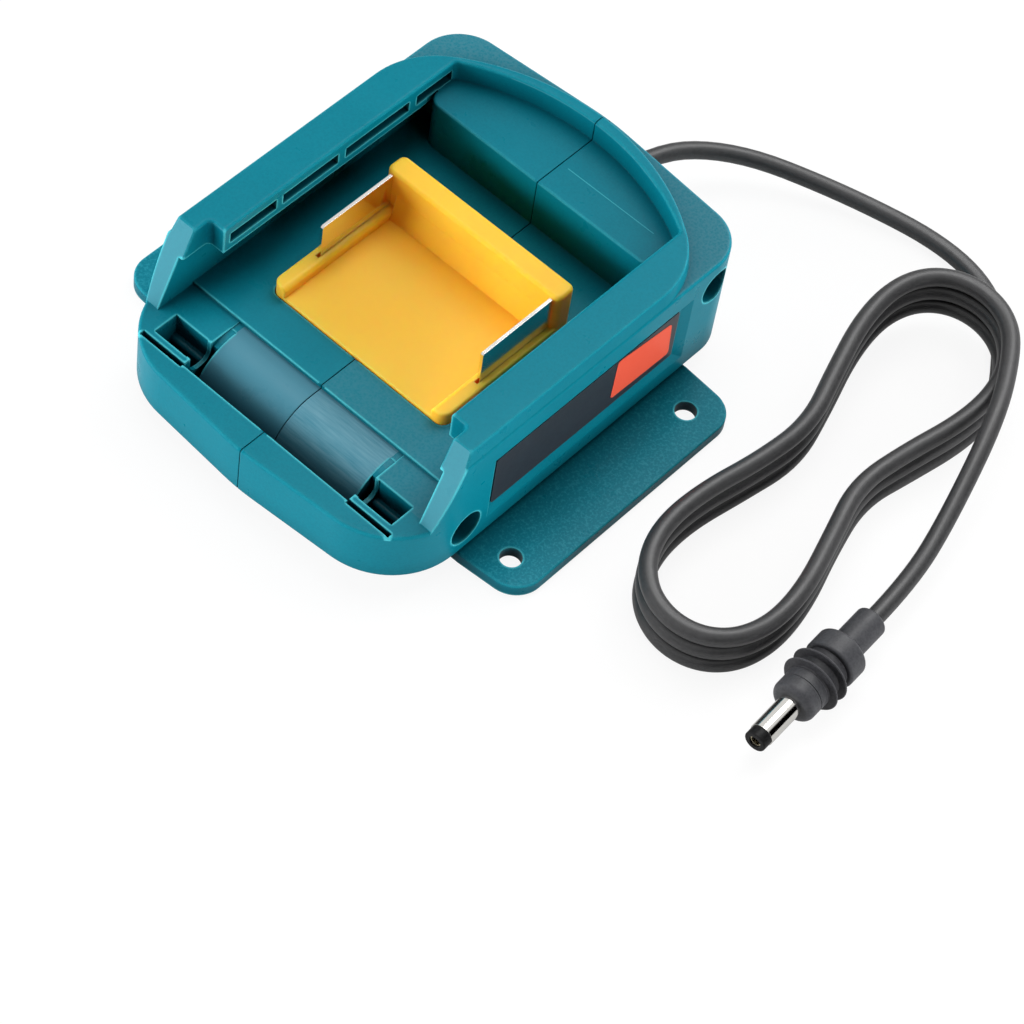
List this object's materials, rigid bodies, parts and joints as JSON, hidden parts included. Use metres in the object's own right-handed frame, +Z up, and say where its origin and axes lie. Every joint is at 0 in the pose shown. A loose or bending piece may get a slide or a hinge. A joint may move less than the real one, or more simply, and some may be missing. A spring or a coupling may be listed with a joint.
{
  "type": "battery adapter",
  "caption": "Screw-mount adapter that takes a slide-on tool battery and feeds its power to a hanked cord with a sealed barrel plug.",
  "frame": {"origin": "centre of the housing's flat underside, at the parting plane, cord and plug left out", "axes": "+Z up out of the battery bay, +Y the way the battery slides in and the cord leaves, +X to the right with the battery's entry facing the viewer"},
  "size_m": [0.1844, 0.1694, 0.0385],
  "materials": {
    "teal_housing": "satin moulded, fine grain",
    "amber_block": "smooth moulded",
    "blade_nickel": "bright nickel plate",
    "screw_steel": "zinc plated",
    "red_insulation": "satin",
    "black_insulation": "satin",
    "black_cord": "satin jacket",
    "label_film": "printed film, satin",
    "plug_black": "satin moulded",
    "seal_rubber": "soft matt",
    "plug_nickel": "bright nickel plate",
    "contact_metal": "plain"
  },
  "bodies": {
    "root": {"right_housing_half": "teal_housing", "left_housing_half": "teal_housing", "housing_screws": "screw_steel", "terminal_block": "amber_block", "positive_terminal_blade": "blade_nickel", "negative_terminal_blade": "blade_nickel", "positive_wire": "red_insulation", "negative_wire": "black_insulation", "positive_solder_sleeve": "red_insulation", "negative_solder_sleeve": "black_insulation", "cord_grommet": "seal_rubber", "side_label": "label_film", "blank_side_plate": "label_film", "cord_lead": "black_cord", "cord_hank": "black_cord", "cord_tail": "black_cord", "plug_overmould": "plug_black", "plug_seal_sleeve": "seal_rubber", "plug_nose": "plug_black", "plug_barrel": "plug_nickel", "plug_tip_insulator": "plug_black", "plug_centre_contact": "contact_metal"}
  },
  "joints": []
}
